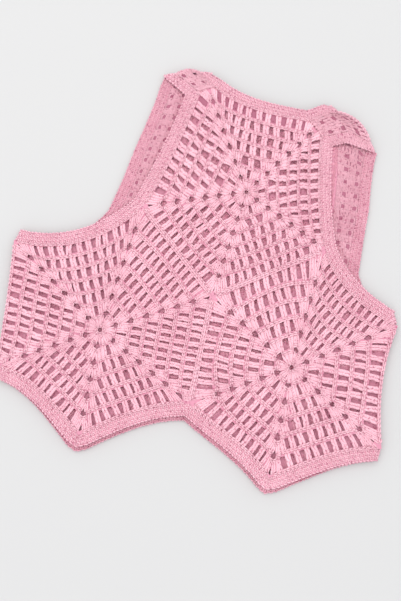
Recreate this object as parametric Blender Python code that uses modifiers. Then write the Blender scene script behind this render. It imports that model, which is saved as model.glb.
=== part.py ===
"""Crocheted vest of one five-sided and two six-sided motifs a side, laid flat, front up.

The back layer rests on the surface and the front layer rests on the back. Two straps come up
the back, fold over the shoulders and are sewn to the front. Borders of three close rows run
round the neck, the armholes and the hem. Everything below is measured in millimetres, with +X
to the wearer's left as the vest lies face up, +Y towards the neck and the surface at Z = 0.
"""
from collections import namedtuple
from math import cos, pi, sin

import bmesh
import bpy
from mathutils import Vector

MM = 0.001                 # scene units in one millimetre
CENTRE_X = -0.47           # middle of the laid vest in the tables below, which goes to the origin
CENTRE_Y = -0.17

# Driving dimensions
WALL = 4.1                 # thickness of the crocheted cloth
GAP = 0.3                  # between neighbouring pieces, and between the layers
BORDER = 13.0              # width of the border of the armholes and the hem
NECK_BORDER = 11.0         # width of the border of the neck
BACK_DROP = 5.0            # how far the back layer shows below the front one

STITCH = 4.2               # width of one post
MESH_HOLE = 5.1            # gap between two single posts
CORNER_SPACE = 5.6         # gap between the two fans of a corner
GAPS_FEWER = 9             # a side of round k has 2k + the motif's sides - this many gaps
FAN_FOOT = 5.9             # foot of a fan's last post from the corner
FAN_HEAD = 13.4            # head of a fan's last post from the corner
POST_FOOT = 1.9            # half width of the cloth of a post near its foot and near its head
POST_HEAD = 2.4
CENTRE_HOLE = 5.0          # across the ring that a motif starts from
GAP_FOOT = 0.15            # foot and head of a gap, in rounds above the foot of its round
GAP_HEAD = 0.78
CORNER_GAP = ((0, -0.33), (3.5, 0.1), (0, 0.22), (-3.5, 0.1))   # across, and rounds beyond its own
RIM = 1.0                  # least cloth between a gap and the edge of its motif

EDGE_STEPS = 8             # straight steps along one side of a motif
NEAR_TIP = 0.03            # share of a side from a tip of the hem to the next point
TIPS = ("point_left", "point_right")
STRAP_STEPS = 4            # straight steps across a strap
FOLD_STEPS = 4             # straight steps round a fold
BULGE_ROOM = 0.14          # further gap beside a strap for each millimetre that its row bulges

BACK_LEVEL = WALL / 2                   # middle of the back layer's wall
FRONT_LEVEL = WALL + GAP + WALL / 2     # middle of the front layer's wall
FOLD_LEVEL = (BACK_LEVEL + FRONT_LEVEL) / 2
FOLD_RADIUS = (FRONT_LEVEL - BACK_LEVEL) / 2

Side = namedtuple("Side", "start end bulge_a bulge_b at_middle at_corner trim_a trim_b",
                  defaults=(0, 0, 0, 0, 0, 0))
Row = namedtuple("Row", "neck_x neck_y arm_x arm_y bulge")
Fold = namedtuple("Fold", "cloth_x cloth_y edge_x edge_y way_x way_y")

# Corners of the front motifs: name: (x, y)
FRONT_CORNERS = {
    "middle": (8, -32),
    "armhole_left": (-96, 55),
    "armhole_right": (125, 52),
    "shoulder_left": (-62, 232),
    "shoulder_right": (92, 206),
    "side_left_top": (-234, -19),
    "side_left_low": (-215, -167),
    "point_left": (-103, -222),
    "notch": (10.5, -159.5),
    "point_right": (116, -219.5),
    "side_right_low": (233, -160),
    "side_right_top": (225, -18),
}

# Sides of the front motifs, counter-clockwise. The bulges, outward at a third and at two
# thirds of the side, give its curve; at_middle and at_corner count the rounds of stitches
# from the motif's centre out to the middle of the side and to the corner that it starts from.
TOP_SIDES = (
    Side("middle", "armhole_right", 0, 0, 7, 7.4),
    Side("armhole_right", "shoulder_right", -4, -3, 7, 6.9, 0, 0.12),
    Side("shoulder_right", "shoulder_left", -4.7, -11.9, 7, 7.3, 0.12, 0.12),
    Side("shoulder_left", "armhole_left", -2.5, -3, 7, 7.6, 0.12, 0),
    Side("armhole_left", "middle", 0, 0, 7, 7.4),
)
LEFT_SIDES = (
    Side("middle", "armhole_left", 0, 0, 7, 7.2),
    Side("armhole_left", "side_left_top", -11.5, -13, 7, 7.4),
    Side("side_left_top", "side_left_low", -1, -1, 7, 7.4),
    Side("side_left_low", "point_left", -8.2, -3.1, 6, 6.8),
    Side("point_left", "notch", -3.4, -6.3, 6, 6.3),
    Side("notch", "middle", 0, 0, 7, 6.7),
)
RIGHT_SIDES = (
    Side("middle", "notch", 0, 0, 6, 6.5),
    Side("notch", "point_right", 0, -4.1, 6, 6.9),
    Side("point_right", "side_right_low", -2, -6, 6, 6.2),
    Side("side_right_low", "side_right_top", -5, -6, 6, 6.6),
    Side("side_right_top", "armhole_right", -6, -8, 7, 6.9),
    Side("armhole_right", "middle", 0, 0, 6, 7),
)
FRONT_MOTIFS = {
    "front_top_motif": ((20, 99), TOP_SIDES),
    "front_left_motif": ((-109, -100), LEFT_SIDES),
    "front_right_motif": ((115, -93), RIGHT_SIDES),
}

# Straps, from their base on the back up to the fold at the shoulder
LEFT_STRAP_BACK = (
    Row(-96, 48, -122, 38, 0),
    Row(-90, 81, -114.5, 81, 0),
    Row(-86, 118, -110, 118, 0),
    Row(-80, 155, -104, 155, 0),
    Row(-74, 192, -99.5, 186, 0),
    Row(-68, 218, -98, 208, 0),
)
RIGHT_STRAP_BACK = (
    Row(130, 46, 156, 30, 0),
    Row(127, 74, 154, 74, 0),
    Row(125, 111, 153, 111, 0),
    Row(121, 148, 149, 148, 0),
    Row(114, 186, 148, 172, 2),
    Row(108, 207, 149, 185, 5),
)
LEFT_FOLD_ROW = Row(-67, 234, -95, 226, 4)
RIGHT_FOLD_ROW = Row(104.5, 221.5, 149.5, 193.5, 8)
RIGHT_STRAP_FRONT = Row(92, 218, 123, 201, 4)
NECK_CORNER_ROW = 4        # the strap row at the top corner of the back motif

# Where the borders fold over: cloth and outer edge of the border, and the way the fold points
FOLDS = {
    "neck_left": Fold(-67, 234, -53, 235.5, -0.32, 0.95),
    "neck_right": Fold(104.5, 221.5, 94.5, 227.5, 0.58, 0.81),
    "arm_left": Fold(-95, 226, -109, 220, -0.32, 0.95),
    "arm_right": Fold(149.5, 193.5, 157.5, 182.5, 0.58, 0.81),
    "side_left": Fold(-230, -19, -227, -5, -1, 0.1),
    "side_right": Fold(220.5, -15.7, 214, -3, 1, 0.2),
    "hem_left": Fold(-211, -167.6, -208, -180.5, -1, 0),
    "hem_right": Fold(229, -161.2, 228, -174, 1, 0),
}

# Corners of the back motifs, which meet the front ones at the sides: name: (x, y)
BACK_CORNERS = {
    **FRONT_CORNERS,
    "middle": (8, -32 - BACK_DROP),
    "point_left": (-103, -222 - BACK_DROP),
    "notch": (10.5, -159.5 - BACK_DROP),
    "point_right": (116, -219.5 - BACK_DROP),
    "strap_left_arm": LEFT_STRAP_BACK[0][2:4],
    "strap_left_neck": LEFT_STRAP_BACK[0][0:2],
    "strap_right_arm": RIGHT_STRAP_BACK[0][2:4],
    "strap_right_neck": RIGHT_STRAP_BACK[0][0:2],
    "neck_left": LEFT_STRAP_BACK[NECK_CORNER_ROW][0:2],
    "neck_right": RIGHT_STRAP_BACK[NECK_CORNER_ROW][0:2],
}
BACK_LEFT_SIDES = (
    Side("middle", "strap_left_neck"),
    Side("strap_left_neck", "strap_left_arm"),
    Side("strap_left_arm", "side_left_top", -14, -13),
    Side("side_left_top", "side_left_low", -1, -1),
    Side("side_left_low", "point_left", -11, -12),
    Side("point_left", "notch", -4, -7),
    Side("notch", "middle", 0, 0),
)
BACK_RIGHT_SIDES = (
    Side("middle", "notch", 0, 0),
    Side("notch", "point_right", -13, -13),
    Side("point_right", "side_right_low", -7, -9),
    Side("side_right_low", "side_right_top", -5, -6),
    Side("side_right_top", "strap_right_arm", -8, -8),
    Side("strap_right_arm", "strap_right_neck"),
    Side("strap_right_neck", "middle"),
)
BACK_NECK_SIDE = Side("neck_right", "neck_left", 6, 6)

# Yarn of each piece: name: (red, green, blue), linear
FRONT_YARN = (0.82, 0.43, 0.53)
BACK_YARN = (0.68, 0.33, 0.43)
BORDER_YARN = (0.84, 0.46, 0.55)


def side_point(corners, side, t):
    """Point at fraction t of a side, bulged outward from the straight line between its ends."""
    start = Vector(corners[side.start])
    end = Vector(corners[side.end])
    along = end - start
    outward = Vector((along.y, -along.x)).normalized()
    bulge = 6.75 * t * (1 - t) * (side.bulge_a * (1 - t) + side.bulge_b * t)
    return start + along * t + outward * bulge


def side_points(corners, side):
    """Points along a side, without the stretches trimmed off its ends, closer at a point's tip."""
    first, last = side.trim_a, 1 - side.trim_b
    near = [NEAR_TIP] * (side.start in TIPS) + [1 - NEAR_TIP] * (side.end in TIPS)
    places = sorted([i / EDGE_STEPS for i in range(EDGE_STEPS + 1)] + near)
    return [side_point(corners, side, first + (last - first) * t) for t in places]


def chained(*runs):
    """One list of points from several, each joint kept once."""
    points = []
    for run in runs:
        for point in run:
            if not points or (point - points[-1]).length > GAP:
                points.append(point)
    return points


def offset(points, distance, closed=False):
    """Points moved to the right of their way by a distance, less far out at sharp corners."""
    moved = []
    count = len(points)
    for i, point in enumerate(points):
        before = points[i - 1] if closed or i else point
        after = points[(i + 1) % count] if closed or i < count - 1 else point
        way_in = (point - before).normalized() if point != before else (after - point).normalized()
        way_out = (after - point).normalized() if after != point else way_in
        way = (way_in + way_out).normalized()
        right = Vector((way.y, -way.x))
        turned_outward = way_in.cross(way_out) * distance > 0
        stretch = 1 if turned_outward and abs(distance) > GAP else 1 / max(way.dot(way_in), 0.5)
        moved.append(point + right * distance * stretch)
    return moved


def outline_of(corners, sides):
    """Closed outline of a motif, half a gap inside the lines it shares with its neighbours."""
    points = chained(*(side_points(corners, side) for side in sides))
    if (points[0] - points[-1]).length < GAP:
        points.pop()
    return offset(points, -GAP / 2, closed=True)


def rounds_at(side, following, t):
    """Rounds of stitches from the centre of a motif out to fraction t of a side."""
    corner = side.at_corner if t < 0.5 else following.at_corner
    return side.at_middle + (corner - side.at_middle) * (2 * t - 1) ** 2


def round_length(k, sides):
    """Nominal length of one side of round k, and how many gaps it has."""
    if k == 1:
        return CORNER_SPACE + 3 * STITCH, 0
    gaps = max(1, 2 * k + sides - GAPS_FEWER)
    return CORNER_SPACE + 6 * STITCH + gaps * MESH_HOLE + (gaps - 1) * STITCH, gaps


def post_line(j, k, sides):
    """Foot and head of the post before gap j of round k, as shares of the side."""
    whole, gaps = round_length(k, sides)
    before, gaps_before = round_length(k - 1, sides)
    if j == 0:
        return FAN_FOOT / before, FAN_HEAD / whole
    if j == gaps:
        return 1 - FAN_FOOT / before, 1 - FAN_HEAD / whole
    fan = CORNER_SPACE / 2 + 3 * STITCH
    head = (fan + j * MESH_HOLE + (j - 0.5) * STITCH) / whole
    if gaps != gaps_before + 2:
        return head, head
    if j == 1:
        return (fan - STITCH / 2) / before, head
    if j == gaps - 1:
        return 1 - (fan - STITCH / 2) / before, head
    return (fan + (j - 1) * MESH_HOLE + (j - 1.5) * STITCH) / before, head


def fan_holes(centre, sides, side, following):
    """The gaps next to the corner fans of one side, in every round that has gaps."""
    holes = []
    for k in range(2, side.at_middle + 1):
        whole, gaps = round_length(k, len(sides))
        before, _ = round_length(k - 1, len(sides))
        for j in sorted({0, gaps - 1}):
            left, right = post_line(j, k, len(sides)), post_line(j + 1, k, len(sides))
            outline = []
            for height, inset, (foot, head) in (
                    (GAP_FOOT, POST_FOOT, left), (GAP_FOOT, -POST_FOOT, right),
                    (GAP_HEAD, -POST_HEAD, right), (GAP_HEAD, POST_HEAD, left)):
                length = before + (whole - before) * height
                t = foot + (head - foot) * height + inset / length
                reach = (k - 1 + height) / rounds_at(side, following, t)
                outline.append(centre + (side_point(FRONT_CORNERS, side, t) - centre) * reach)
            holes.append(outline)
    return holes


def corner_holes(centre, side_in, side_out):
    """The gaps between the two fans at one corner of every round, as kites on the diagonal."""
    spoke = Vector(FRONT_CORNERS[side_out.start]) - centre
    across = Vector((-spoke.y, spoke.x)).normalized()
    holes = []
    for k in range(1, min(side_in.at_middle, side_out.at_middle) + 1):
        holes.append([centre + spoke * (k + beyond) / side_out.at_corner + across * sideways
                      for sideways, beyond in CORNER_GAP])
    return holes


def is_clear(hole, outline):
    """Whether a gap keeps a rim of cloth to every line of an outline that it lies within."""
    for start, end in zip(outline, outline[1:] + outline[:1]):
        along = (end - start).normalized()
        for point in hole:
            reach = min(max((point - start).dot(along), 0), (end - start).length)
            if (point - start - along * reach).length < RIM or not is_inside(point, outline):
                return False
    return True


def is_inside(point, outline):
    """Whether a point lies inside a closed outline."""
    crossings = 0
    for start, end in zip(outline, outline[1:] + outline[:1]):
        if (start.y > point.y) != (end.y > point.y):
            x = start.x + (end.x - start.x) * (point.y - start.y) / (end.y - start.y)
            crossings += x > point.x
    return crossings % 2 == 1


def motif_holes(centre, sides):
    """The largest gaps of the lace: at the middle, in the corners and beside the fans."""
    holes = [[centre + Vector((cos(turn), sin(turn))) * CENTRE_HOLE / 2
              for turn in (i * pi / 3 for i in range(6))]]
    for i, side in enumerate(sides):
        holes += fan_holes(centre, sides, side, sides[(i + 1) % len(sides)])
        holes += corner_holes(centre, sides[i - 1], side)
    return holes


def yarn(name, colour):
    """Soft matt yarn."""
    material = bpy.data.materials.new(name + "_yarn")
    material.use_nodes = True
    shader = material.node_tree.nodes["Principled BSDF"]
    shader.inputs["Base Color"].default_value = (*colour, 1)
    shader.inputs["Roughness"].default_value = 0.9
    shader.inputs["Metallic"].default_value = 0
    return material


def add_piece(name, mesh, colour, collection):
    """Put a mesh into the scene as one named piece with its own yarn."""
    piece = bpy.data.objects.new(name, mesh)
    mesh.materials.clear()
    mesh.materials.append(yarn(name, colour))
    collection.objects.link(piece)
    return piece


def add_panel(name, outline, holes, level, colour, collection):
    """Flat panel: a filled curve of the outline and its holes, as thick as the wall."""
    curve = bpy.data.curves.new(name + "_outline", "CURVE")
    curve.dimensions = "2D"
    curve.fill_mode = "BOTH"
    curve.extrude = WALL / 2 * MM
    for points in (outline, *holes):
        spline = curve.splines.new("POLY")
        spline.points.add(len(points) - 1)
        for knot, point in zip(spline.points, points):
            knot.co = ((point.x - CENTRE_X) * MM, (point.y - CENTRE_Y) * MM, 0, 1)
        spline.use_cyclic_u = True
    drawn = bpy.data.objects.new(name + "_outline", curve)
    drawn.location.z = level * MM
    collection.objects.link(drawn)
    bpy.context.view_layer.update()
    evaluated = drawn.evaluated_get(bpy.context.evaluated_depsgraph_get())
    mesh = bpy.data.meshes.new_from_object(evaluated)
    shape = bmesh.new()
    shape.from_mesh(mesh)
    bmesh.ops.remove_doubles(shape, verts=shape.verts, dist=0.01 * MM)
    bmesh.ops.recalc_face_normals(shape, faces=shape.faces)
    shape.to_mesh(mesh)
    shape.free()
    piece = add_piece(name, mesh, colour, collection)
    piece.matrix_world = drawn.matrix_world.copy()
    bpy.data.objects.remove(drawn)
    return piece


def add_wall(name, rows, closed, colour, collection):
    """Wall of cloth on a sheet of rows of points, given its thickness by Solidify."""
    shape = bmesh.new()
    centre = Vector((CENTRE_X, CENTRE_Y, 0))
    grid = [[shape.verts.new((point - centre) * MM) for point in row] for row in rows]
    pairs = list(zip(grid, grid[1:] + grid[:1] if closed else grid[1:]))
    for row, following in pairs:
        for i in range(len(row) - 1):
            shape.faces.new((row[i], row[i + 1], following[i + 1], following[i]))
    bmesh.ops.recalc_face_normals(shape, faces=shape.faces)
    mesh = bpy.data.meshes.new(name)
    shape.to_mesh(mesh)
    shape.free()
    piece = add_piece(name, mesh, colour, collection)
    wall = piece.modifiers.new("Wall", "SOLIDIFY")
    wall.thickness = WALL * MM
    wall.offset = 0
    return piece


def at_level(points, level):
    """Flat points raised to a level."""
    return [Vector((point.x, point.y, level)) for point in points]


def folded(points, way, from_front):
    """Rows of a fold over a line of flat points, from one layer round to the other."""
    way = Vector(way).normalized()
    rows = []
    for i in range(1, FOLD_STEPS):
        turn = pi * i / FOLD_STEPS
        lift = cos(turn) if from_front else -cos(turn)
        out = way * FOLD_RADIUS * sin(turn)
        rows.append(at_level([point + out for point in points], FOLD_LEVEL + FOLD_RADIUS * lift))
    return rows


def strap_row(row, side):
    """Points across a strap, from its neck side to its arm side, half a gap in at both ends."""
    neck = Vector((row.neck_x, row.neck_y))
    arm = Vector((row.arm_x, row.arm_y))
    across = arm - neck
    outward = Vector((-across.y, across.x)).normalized() * side
    margin = across.normalized() * (GAP / 2 + BULGE_ROOM * row.bulge)
    points = []
    for i in range(STRAP_STEPS + 1):
        t = i / STRAP_STEPS
        points.append(neck + margin + (across - 2 * margin) * t + outward * 4 * row.bulge * t * (1 - t))
    return points


def moved_towards(points, others, distance):
    """Points moved a distance towards the matching points of the next row."""
    return [point + (other - point).normalized() * distance for point, other in zip(points, others)]


def add_strap(name, back, fold_row, way, front, side, collection):
    """Strap: up the back, over the fold at the shoulder, and down to the front motif."""
    flat_back = [strap_row(row, side) for row in back] + [strap_row(fold_row, side)]
    flat_front = [strap_row(fold_row, side)] + [strap_row(row, side) for row in front]
    flat_back[0] = moved_towards(flat_back[0], flat_back[1], GAP / 2)
    flat_front[-1] = moved_towards(flat_front[-1], flat_front[-2], GAP / 2)
    rows = [at_level(points, BACK_LEVEL) for points in flat_back]
    rows += folded(flat_back[-1], way, from_front=False)
    rows += [at_level(points, FRONT_LEVEL) for points in flat_front]
    return add_wall(name, rows, False, BACK_YARN, collection)


def band_rows(path, start, end, width, level):
    """Rows across a border beside a path of cloth, from one fold line to the next."""
    inner = offset(path, GAP / 2)
    outer = offset(path, GAP / 2 + width)
    rows = [[a, b] for a, b in zip(inner, outer)]
    for row, fold in ((rows[0], start), (rows[-1], end)):
        cloth = Vector((fold.cloth_x, fold.cloth_y))
        edge = Vector((fold.edge_x, fold.edge_y))
        row[:] = [cloth + (edge - cloth).normalized() * GAP / 2, edge]
    return [at_level(row, level) for row in rows]


def fold_rows(fold, from_front):
    """Rows of a border round a fold, from one layer to the other."""
    cloth = Vector((fold.cloth_x, fold.cloth_y))
    edge = Vector((fold.edge_x, fold.edge_y))
    line = [cloth + (edge - cloth).normalized() * GAP / 2, edge]
    return folded(line, (fold.way_x, fold.way_y), from_front)


def add_border(name, front_path, back_path, first, second, width, collection):
    """Border worked in the round: along the front layer, over a fold, and back along the other.

    Both paths run from the first fold to the second with the cloth on their left.
    """
    rows = band_rows(front_path, first, second, width, FRONT_LEVEL)
    rows += fold_rows(second, from_front=True)
    rows += band_rows(back_path, first, second, width, BACK_LEVEL)[::-1]
    rows += fold_rows(first, from_front=False)
    return add_wall(name, rows, True, BORDER_YARN, collection)


def fold_point(name):
    """The cloth's end of a fold line."""
    return Vector((FOLDS[name].cloth_x, FOLDS[name].cloth_y))


def strap_side(rows, neck):
    """One side of a strap as a run of points, its neck side or its arm side."""
    return [Vector((row.neck_x, row.neck_y) if neck else (row.arm_x, row.arm_y)) for row in rows]


def build():
    """Build every piece of the vest."""
    for old in list(bpy.data.objects):
        bpy.data.objects.remove(old)
    vest = bpy.data.collections.new("crochet_vest")
    bpy.context.scene.collection.children.link(vest)

    for name, (centre, sides) in FRONT_MOTIFS.items():
        outline = outline_of(FRONT_CORNERS, sides)
        holes = [hole for hole in motif_holes(Vector(centre), sides) if is_clear(hole, outline)]
        add_panel(name, outline, holes, FRONT_LEVEL, FRONT_YARN, vest)
    for name, sides in (("back_left_motif", BACK_LEFT_SIDES), ("back_right_motif", BACK_RIGHT_SIDES)):
        add_panel(name, outline_of(BACK_CORNERS, sides), (), BACK_LEVEL, BACK_YARN, vest)

    # The back's top motif follows the straps up to the corners of the neck
    neck_run = side_points(BACK_CORNERS, BACK_NECK_SIDE)
    left_run = strap_side(LEFT_STRAP_BACK[:NECK_CORNER_ROW + 1], neck=True)
    right_run = strap_side(RIGHT_STRAP_BACK[:NECK_CORNER_ROW + 1], neck=True)
    middle = [Vector(BACK_CORNERS["middle"])]
    back_top = chained(middle, right_run, neck_run, left_run[::-1])
    add_panel("back_top_motif", offset(back_top, -GAP / 2, closed=True), (), BACK_LEVEL, BACK_YARN, vest)

    # Each strap ends on the trimmed shoulder corner of the front's top motif
    neck_line = side_points(FRONT_CORNERS, TOP_SIDES[2])
    right_edge = side_points(FRONT_CORNERS, TOP_SIDES[1])
    left_edge = side_points(FRONT_CORNERS, TOP_SIDES[3])
    left_join = Row(*neck_line[-1], *left_edge[0], 0)
    right_join = Row(*neck_line[0], *right_edge[-1], 0)
    left_front = (left_join,)
    right_front = (RIGHT_STRAP_FRONT, right_join)
    left_way = FOLDS["neck_left"][4:6]
    right_way = FOLDS["neck_right"][4:6]
    add_strap("strap_left", LEFT_STRAP_BACK, LEFT_FOLD_ROW, left_way, left_front, -1, vest)
    add_strap("strap_right", RIGHT_STRAP_BACK, RIGHT_FOLD_ROW, right_way, right_front, 1, vest)

    neck_right, neck_left = fold_point("neck_right"), fold_point("neck_left")
    front = chained([neck_right], strap_side(right_front, True), neck_line,
                    strap_side(left_front, True), [neck_left])
    back = chained([neck_right], strap_side(RIGHT_STRAP_BACK[:NECK_CORNER_ROW - 1:-1], True),
                   neck_run, strap_side(LEFT_STRAP_BACK[NECK_CORNER_ROW:], True), [neck_left])
    add_border("neck_border", front, back, FOLDS["neck_right"], FOLDS["neck_left"], NECK_BORDER, vest)

    arm_left, arm_right = fold_point("arm_left"), fold_point("arm_right")
    front = chained([arm_left], strap_side(left_front, False), left_edge,
                    side_points(FRONT_CORNERS, LEFT_SIDES[1]))
    back = chained([arm_left], strap_side(LEFT_STRAP_BACK[::-1], False),
                   side_points(BACK_CORNERS, BACK_LEFT_SIDES[2]))
    add_border("armhole_border_left", front, back, FOLDS["arm_left"], FOLDS["side_left"], BORDER, vest)
    front = chained(side_points(FRONT_CORNERS, RIGHT_SIDES[4]), right_edge,
                    strap_side(right_front[::-1], False), [arm_right])
    back = chained(side_points(BACK_CORNERS, BACK_RIGHT_SIDES[4]),
                   strap_side(RIGHT_STRAP_BACK, False), [arm_right])
    add_border("armhole_border_right", front, back, FOLDS["side_right"], FOLDS["arm_right"], BORDER, vest)

    front = chained(*(side_points(FRONT_CORNERS, side) for side in LEFT_SIDES[3:5] + RIGHT_SIDES[1:3]))
    back = chained(*(side_points(BACK_CORNERS, side)
                     for side in BACK_LEFT_SIDES[4:6] + BACK_RIGHT_SIDES[1:3]))
    add_border("hem_border", front, back, FOLDS["hem_left"], FOLDS["hem_right"], BORDER, vest)


build()
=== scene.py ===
"""Crocheted vest laid flat: a thin web with its lace gaps, and the yarn worked over it.

The tables repeat the sizes of the solids, in millimetres. A surface turns places counted along
and across a piece into points in space, and every stitch is a copy of one of a few modelled
stitches, bent onto its surface.
"""
from collections import namedtuple

import bmesh
import bpy
import numpy as np
from bpy.props import FloatProperty, FloatVectorProperty, IntProperty, PointerProperty
from mathutils import Matrix, Vector


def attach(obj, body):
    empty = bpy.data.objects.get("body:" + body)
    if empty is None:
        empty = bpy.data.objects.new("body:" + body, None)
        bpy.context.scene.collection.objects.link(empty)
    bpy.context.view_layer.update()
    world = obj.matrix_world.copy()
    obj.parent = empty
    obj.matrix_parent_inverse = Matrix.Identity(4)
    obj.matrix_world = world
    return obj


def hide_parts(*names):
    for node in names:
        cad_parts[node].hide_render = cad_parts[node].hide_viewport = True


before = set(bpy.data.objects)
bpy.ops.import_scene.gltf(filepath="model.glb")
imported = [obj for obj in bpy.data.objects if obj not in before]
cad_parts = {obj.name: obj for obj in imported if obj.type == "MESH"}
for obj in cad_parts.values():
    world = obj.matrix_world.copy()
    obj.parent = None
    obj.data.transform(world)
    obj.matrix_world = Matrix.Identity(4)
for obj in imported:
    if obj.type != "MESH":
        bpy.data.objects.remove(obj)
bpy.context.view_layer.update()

bl_info = {
    "name": "Crocheted vest",
    "version": (1, 0, 0),
    "blender": (4, 5, 0),
    "location": "View3D > Sidebar > Vest",
    "description": "Works the yarn of a crocheted vest laid flat",
    "category": "Object",
}

MM = 0.001
CENTRE = np.array((-0.47, -0.17, 0.0))     # the laid vest's middle in the tables below
SEAM = 0.3                 # gap between neighbouring pieces; a run's points are further apart
SAME_POINT = 0.005         # vertices nearer than this are merged
MITRE_LIMIT = 0.5          # least cosine that a corner is mitred by
BULGE_PEAK = 6.75          # makes a side's bulges its greatest distances from the straight line
SIDE_STEPS = 24            # samples along one side of a motif
NEAR_TIP = 0.03            # place of the further point of a side next to a tip of the hem
TIPS = ("point_left", "point_right")

# Layers
BACK_LEVEL = 2.05          # middles of the back layer, the front layer and the folds
FRONT_LEVEL = 6.45
FOLD_LEVEL = 4.25
FOLD_RADIUS = 2.2
FOLD_STEPS = 8
FLOOR_ROOM = 0.05          # least height of anything over the floor
BACK_DROP = 5.0            # how far the back's hem reaches below the front's

# Rounds of a motif
STITCH = 4.2               # pitch of the posts of a fan at their heads
MESH_HOLE = 5.1            # gap between two single posts
CORNER_SPACE = 5.6         # gap between the two fans of a corner
FAN = 3                    # posts of the fan at each end of a side
GAPS_FEWER = 9             # a side of round k has 2k + the motif's sides - this many gaps
FAN_HEADS = (1.08, 2.14, 3.2)   # heads of a fan's posts from the corner, in posts
FAN_SPREAD = (0.9, 3.3, 5.9)    # their feet from the corner, in millimetres
FAN_FEET = (0.26, 0.14, 0.02)   # how far above the round below they start, in rounds
SINGLE_FOOT = -0.06             # the same for a single post
FAN_WIDTHS = (4.0, 5.2)         # width of a fan's post at its foot and its head
SINGLE_WIDTHS = (5.9, 6.2)      # the same for a single post
FIRST_HEADS = (0.22, 0.5, 0.78)  # heads of the first round's posts, as shares of the side
FIRST_FOOT = 0.2                # their feet from the centre, in rounds
FIRST_FOOT_WIDTH = 0.42         # and how wide they are there, as a share of the side
HEAD_ROOM = 0.08           # how far heads stay within their round, in rounds
LAST_HEAD_ROOM = 0.07      # the same in the last round, within the motif's edge
UNEVEN_POSTS = 0.75        # spread of the posts from their even places
POST_SHADE = 0.35          # spread of the shade from post to post, and from chain to chain
CHAIN_SHADE = 0.3

CHAIN = 4.25               # pitch of the chains
CHAIN_WIDTH = 1.12         # width of a chain, in pitches
CHAIN_REACH = (-0.1, 0.08)      # its foot and head from the posts' heads, in rounds
CHAIN_RISE = 1.0           # how high it lies over the middle of the cloth
CORNER_SWING = 0.46        # how far the chains swing out round a corner, in rounds
LAST_CORNER_SWING = 0.12
SWING_WIDTH = 4.4          # distance from the corner over which that fades
CENTRE_CHAINS = 8          # chains round the hole in the middle of a motif
CENTRE_REACH = (0.16, 0.32)     # their feet and heads, in rounds
CENTRE_RISE = 0.9
CENTRE_HOLE = 0.17         # radius of the hole, in rounds

# Gaps and webs
GAP_FOOT = 0.17            # foot and head of a gap at its sides, as shares of the round's height
GAP_HEAD = 0.78
GAP_ARCH = 0.05            # how much further both reach in the gap's middle
GAP_RIM = 0.9              # least cloth between a gap and the edge of its motif
CORNER_GAP_HALF = 3.5      # half the width of a gap between two fans
CORNER_GAP_TOP = 0.24      # how far beyond its round it reaches, in rounds
LAST_CORNER_GAP_TOP = 0.05
PAINTED_SHADE_SHEET = (-0.6, -0.2)      # foot and head of the dark cloth of painted shade that closes a gap by the neck
NO_BACK_ABOVE = 194.0      # y beyond which no back lies under the front's gaps
WEB_WALL = 1.4             # thickness of a web
WEB_ROOM = 0.1             # how far a motif's web stays within its outline
WEB_PAINTED_SHADE = -0.6            # painted shade of a web, darker as the recesses between the stitches would be
DEPTH_PAINTED_SHADE = 2.2           # painted shade: how much darker a stitch is painted at its deepest, as if its hollows lay in shade
CLOTH_SHARE = 0.94         # flat cloth as a share of a web's face, without its walls and swells

# Straps
STRAP_ROW = 7.6            # height of one row of a strap, and its posts across it
STRAP_OPEN_ROW = (0.05, 0.14, 0.22, 0.5, 0.6, 0.71, 0.99)
STRAP_CLOSE_ROW = (0.06, 0.19, 0.32, 0.45, 0.58, 0.71, 0.84, 0.95)
STRAP_WIDTHS = (3.5, 4.0)       # width of a strap's post at its foot and its head
STRAP_REACH = (-0.4, -0.6)      # its foot and head from those of its row
STRAP_CHAIN_REACH = (-1.9, 0.7)  # foot and head of a chain from the head of its row
STRAP_CHAIN_WIDTH = 1.1    # width of a chain, in pitches
STRAP_CHAIN_RISE = 0.9
STRAP_UNEVEN = 0.01        # spread of the heads of its posts, as a share of its width
STRAP_ACROSS = 7           # points across a strap
STRAP_FLAT = 30.0          # width of its web before it is moved into place
STRAP_MARGIN = 0.003       # how far the web stays within each edge, as a share of the width
STRAP_STEPS = 60           # points along each edge of the web, and cuts across it
STRAP_CUTS = 180

# Borders
BORDER = 13.0              # width of a border, and of the one round the neck
NECK_BORDER = 11.0
BORDER_ROWS = 3
BORDER_STITCH = 4.3        # pitch of its stitches
BORDER_STEP = 3.0          # length of one face of the web
BORDER_MARGIN = 0.01       # how far the web stays within each edge, as a share of the width

# Evenness and colour of the yarn
UNEVEN = 0.11              # spread of the sizes of the stitches
UNEVEN_SHARES = (0.6, 1.0, 0.25, 0.5)   # how much of it their width, bow, height and relief take
PLIES = 3.0                # plies of a strand, and how fast they wind along it
TWIST = 2.6
TONE_SHADE = 0.09          # how much each of these changes the shade of the yarn; the tone also carries shade painted into the stitches' hollows and onto the webs
PATCH_SHADE = 0.35
# painted shade in the grooves between the plies
PAINTED_GROOVE_SHADE = 0.06
FIBRE_SHADE = 0.15
PATCHES = (28, 2)          # scale and detail of the patches, and of the loose fibres
FIBRES = (1400, 3)
DENTS = 230                # scale of the dark dents between the plies, painted shade in the colour and relief in the bump
DENT_PAINTED_SHADE = {"From Min": 0.1, "From Max": 0.36, "To Min": -0.42, "To Max": 0.0}
DENT_DEPTH = 3.0           # relief of the dents and of the grooves between the plies
GROOVE_DEPTH = 0.5
SHADES = (                 # place in the ramp, and share of each of the yarn's primaries there; the low steps carry painted shade as well as random tone
    (0.0, (0.60, 0.38, 0.46)),
    (0.27, (0.80, 0.68, 0.72)),
    (0.78, (1.04, 1.12, 1.1)),
)

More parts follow.
